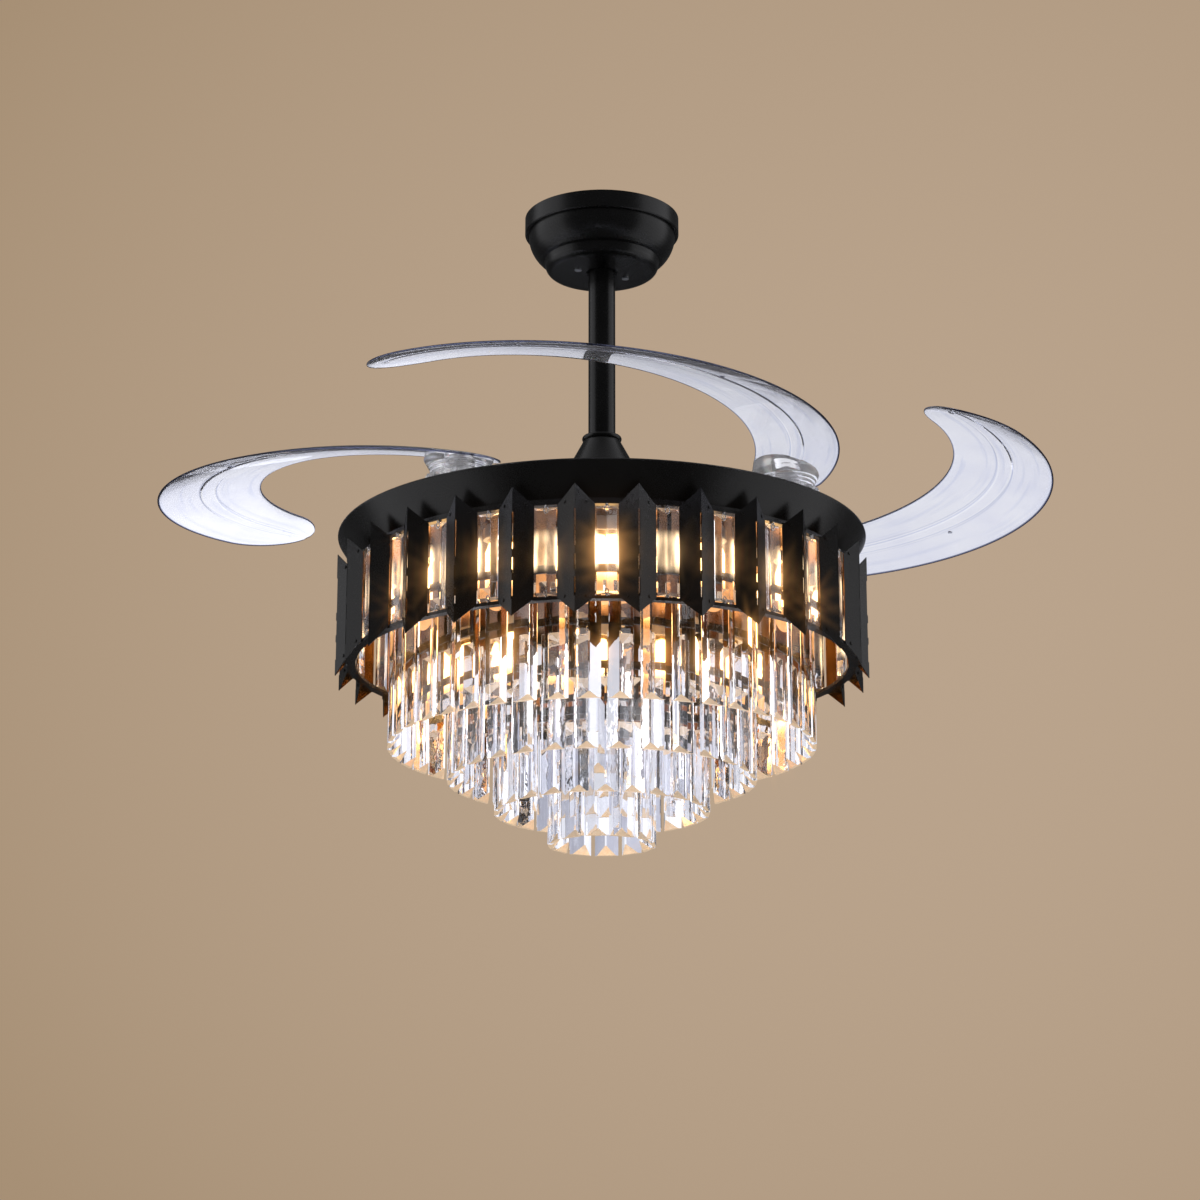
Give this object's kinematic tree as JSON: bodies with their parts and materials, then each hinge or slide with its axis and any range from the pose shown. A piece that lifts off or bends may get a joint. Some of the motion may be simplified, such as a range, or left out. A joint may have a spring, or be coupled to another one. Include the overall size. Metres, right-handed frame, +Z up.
{
  "type": "retractable blade ceiling fan",
  "caption": "Ceiling fan with clear crescent blades that fold over a drum light of folded black fins and stepped tiers of hanging crystal prisms, on a downrod and canopy.",
  "frame": {"origin": "centre of the face that meets the ceiling, midway between the two fixing holes", "axes": "+Z up along the downrod, the lowest crystals at -Z, front of the light towards -Y, +X to the right seen from the front"},
  "size_m": [0.85, 0.85, 0.623],
  "materials": {
    "black_metal": "satin black powder coat",
    "zinc_steel": "zinc plated",
    "bearing_chrome": "bright",
    "winding_copper": "enamelled copper wire",
    "magnet": "sintered, dull",
    "black_plastic": "matte moulded",
    "nylon": "natural nylon",
    "clear_acrylic": "clear, polished",
    "crystal": "clear cut crystal",
    "ceramic": "glazed lamp holder",
    "bulb_glass": "warm lit envelope"
  },
  "bodies": {
    "root": {"ceiling_bracket": "zinc_steel", "receiver_box": "black_plastic", "canopy": "black_metal", "canopy_ring": "black_metal", "canopy_screws": "zinc_steel"},
    "hanger_pin": {"cross_pin": "zinc_steel"},
    "hanger": {"hanger_ball": "black_metal", "downrod": "black_metal", "rod_coupling": "zinc_steel", "coupling_bolt": "zinc_steel", "coupling_cover": "black_metal", "motor_shaft": "zinc_steel", "stator_core": "zinc_steel", "stator_windings": "winding_copper", "lamp_pan": "black_metal", "pan_nut": "zinc_steel", "fin_top_ring": "black_metal", "fin_bottom_ring": "black_metal", "shade_fins": "black_metal", "fin_screws": "black_metal", "window_crystals": "crystal", "window_pins": "bearing_chrome", "tier_ring_1": "black_metal", "tier_ring_2": "black_metal", "tier_ring_3": "black_metal", "tier_ring_4": "black_metal", "tier_crystals_1": "crystal", "tier_crystals_2": "crystal", "tier_crystals_3": "crystal", "tier_crystals_4": "crystal", "hanging_rods": "black_metal", "lamp_sockets": "ceramic", "lamp_bulbs": "bulb_glass"},
    "rotor": {"upper_bearing": "bearing_chrome", "lower_bearing": "bearing_chrome", "motor_top_shell": "black_metal", "motor_base_shell": "black_metal", "magnet_ring": "magnet", "shell_bolts": "zinc_steel", "blade_tray": "black_metal", "guide_track": "black_metal", "pivot_posts": "zinc_steel", "pivot_washers": "zinc_steel", "pivot_screws": "black_metal", "return_springs": "zinc_steel", "ring_retainers": "zinc_steel", "retainer_screws": "zinc_steel"},
    "sync": {"sync_ring": "nylon"},
    "blade_1": {"blade_1": "clear_acrylic"},
    "blade_2": {"blade_2": "clear_acrylic"},
    "blade_3": {"blade_3": "clear_acrylic"},
    "blade_4": {"blade_4": "clear_acrylic"}
  },
  "joints": [
    {"name": "hanger_tilt_x", "type": "hinge", "parent": "root", "child": "hanger_pin", "pos_m": [0, 0, -0.03], "axis": [1, 0, 0], "range_deg": [-3, 3]},
    {"name": "hanger_tilt_y", "type": "hinge", "parent": "hanger_pin", "child": "hanger", "pos_m": [0, 0, -0.03], "axis": [0, 1, 0], "range_deg": [-3, 3]},
    {"name": "fan_spin", "type": "hinge", "parent": "hanger", "child": "rotor", "pos_m": [0, 0, -0.329], "axis": [0, 0, 1], "continuous": true},
    {"name": "blade_1_fold", "type": "hinge", "parent": "rotor", "child": "blade_1", "pos_m": [0.16803, -0.12894, -0.309], "axis": [0, 0, -1], "range_deg": [0, 54.7], "stiffness_Nm_per_rad": 0.3, "springref_deg": 54.7},
    {"name": "blade_2_fold", "type": "hinge", "parent": "rotor", "child": "blade_2", "pos_m": [0.12894, 0.16803, -0.309], "axis": [0, 0, -1], "range_deg": [0, 54.7], "stiffness_Nm_per_rad": 0.3, "springref_deg": 54.7},
    {"name": "blade_3_fold", "type": "hinge", "parent": "rotor", "child": "blade_3", "pos_m": [-0.16803, 0.12894, -0.309], "axis": [0, 0, -1], "range_deg": [0, 54.7], "stiffness_Nm_per_rad": 0.3, "springref_deg": 54.7},
    {"name": "blade_4_fold", "type": "hinge", "parent": "rotor", "child": "blade_4", "pos_m": [-0.12894, -0.16803, -0.309], "axis": [0, 0, -1], "range_deg": [0, 54.7], "stiffness_Nm_per_rad": 0.3, "springref_deg": 54.7},
    {"name": "sync_turn", "type": "hinge", "parent": "rotor", "child": "sync", "pos_m": [0, 0, -0.323], "axis": [0, 0, 1], "range_deg": [0, 8.38]}
  ],
  "couplings": [
    {"joint": "blade_2_fold", "follows": "blade_1_fold", "ratio": 1},
    {"joint": "blade_3_fold", "follows": "blade_1_fold", "ratio": 1},
    {"joint": "blade_4_fold", "follows": "blade_1_fold", "ratio": 1},
    {"joint": "sync_turn", "follows": "blade_1_fold", "ratio": 0.15234}
  ]
}
